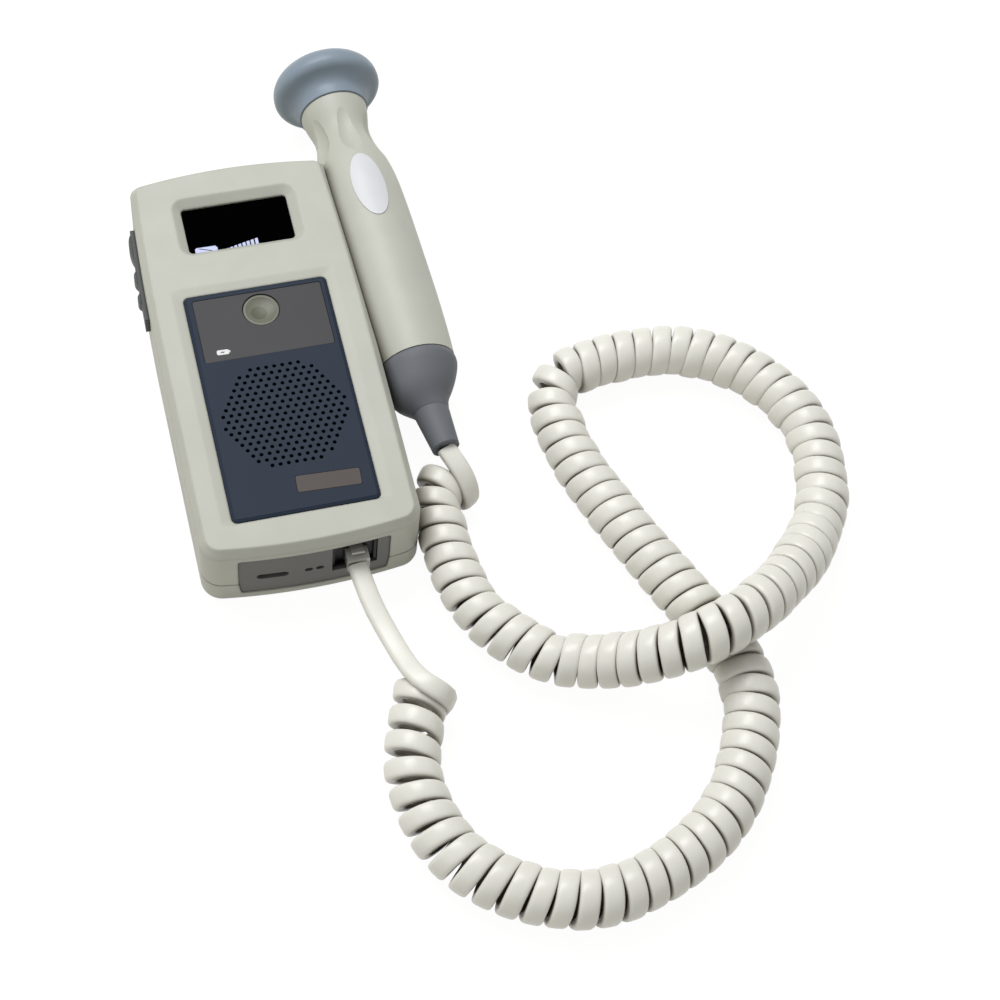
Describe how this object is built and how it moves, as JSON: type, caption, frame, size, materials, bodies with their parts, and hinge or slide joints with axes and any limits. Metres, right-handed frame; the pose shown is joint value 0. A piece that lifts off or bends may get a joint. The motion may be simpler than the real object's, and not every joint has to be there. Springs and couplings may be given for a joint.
{
  "type": "fetal doppler monitor",
  "caption": "Hand-held fetal heartbeat monitor with display, speaker grille, front button and side keys, its ultrasound probe in a side bay on a curly cord.",
  "frame": {"origin": "middle of the flat rear face on which the housing lies", "axes": "+X across the housing toward the probe, +Y toward the display end, +Z out of the front face"},
  "size_m": [0.2322, 0.3403, 0.0407],
  "materials": {
    "housing_plastic": "satin",
    "navy_panel": "satin",
    "label_grey": "satin",
    "badge_grey": "satin",
    "display_glass": "gloss",
    "black_component": "matte",
    "circuit_board": "satin",
    "steel": "satin",
    "contact_brass": "polished",
    "keypad_rubber": "satin",
    "button_plastic": "gloss",
    "speaker_paper": "matte",
    "battery_jacket": "satin",
    "port_grey": "satin",
    "jack_black": "satin",
    "clear_plug": "gloss",
    "probe_plastic": "satin",
    "probe_head_plastic": "satin",
    "probe_membrane": "satin",
    "crystal_ceramic": "matte",
    "backing_rubber": "matte",
    "boot_rubber": "satin",
    "label_white": "satin",
    "cord_jacket": "satin"
  },
  "bodies": {
    "housing": {"front_shell": "housing_plastic", "rear_shell": "housing_plastic", "probe_cradle": "housing_plastic", "speaker_panel": "navy_panel", "label_plate": "label_grey", "badge_plate": "badge_grey", "display_window": "display_glass", "display_module": "black_component", "main_board": "circuit_board", "board_screws": "steel", "case_screws": "steel", "side_board": "circuit_board", "side_switches": "black_component", "keypad_base": "keypad_rubber", "front_switch": "black_component", "speaker_driver": "steel", "speaker_cone": "speaker_paper", "battery_cells": "battery_jacket", "battery_contacts": "steel", "port_panel": "port_grey", "modular_jack": "jack_black", "jack_contacts": "contact_brass", "data_port": "black_component", "port_board": "circuit_board", "plug_body": "clear_plug", "plug_contacts": "contact_brass", "plug_lead": "cord_jacket", "curly_cord": "cord_jacket", "probe_lead": "cord_jacket"},
    "battery_door": {"battery_door": "housing_plastic"},
    "front_button": {"front_button": "button_plastic"},
    "side_key_upper": {"side_key_upper": "keypad_rubber"},
    "side_key_middle": {"side_key_middle": "keypad_rubber"},
    "side_key_lower": {"side_key_lower": "keypad_rubber"},
    "plug_latch": {"plug_latch": "clear_plug"},
    "probe": {"probe_body": "probe_plastic", "probe_head": "probe_head_plastic", "probe_face": "probe_membrane", "probe_crystals": "crystal_ceramic", "probe_backing": "backing_rubber", "probe_board": "circuit_board", "probe_boot": "boot_rubber", "probe_label": "label_white"}
  },
  "joints": [
    {"name": "battery_door_slide", "type": "slide", "parent": "housing", "child": "battery_door", "axis": [0, -1, 0], "range_m": [0, 0.006]},
    {"name": "front_button_press", "type": "slide", "parent": "housing", "child": "front_button", "axis": [0, 0, -1], "range_m": [0, 0.001], "stiffness_N_per_m": 1500},
    {"name": "side_key_upper_press", "type": "slide", "parent": "housing", "child": "side_key_upper", "axis": [1, 0, 0], "range_m": [0, 0.0008], "stiffness_N_per_m": 1200},
    {"name": "side_key_middle_press", "type": "slide", "parent": "housing", "child": "side_key_middle", "axis": [1, 0, 0], "range_m": [0, 0.0008], "stiffness_N_per_m": 1200},
    {"name": "side_key_lower_press", "type": "slide", "parent": "housing", "child": "side_key_lower", "axis": [1, 0, 0], "range_m": [0, 0.0008], "stiffness_N_per_m": 1200},
    {"name": "plug_latch_press", "type": "hinge", "parent": "housing", "child": "plug_latch", "pos_m": [0.0143, -0.0686, 0.0205], "axis": [1, 0, 0], "range_deg": [0, 8], "stiffness_Nm_per_rad": 0.05},
    {"name": "probe_lift_out", "type": "slide", "parent": "housing", "child": "probe", "axis": [0.6991, 0.15, 0.6991], "range_m": [0, 0.06]}
  ]
}
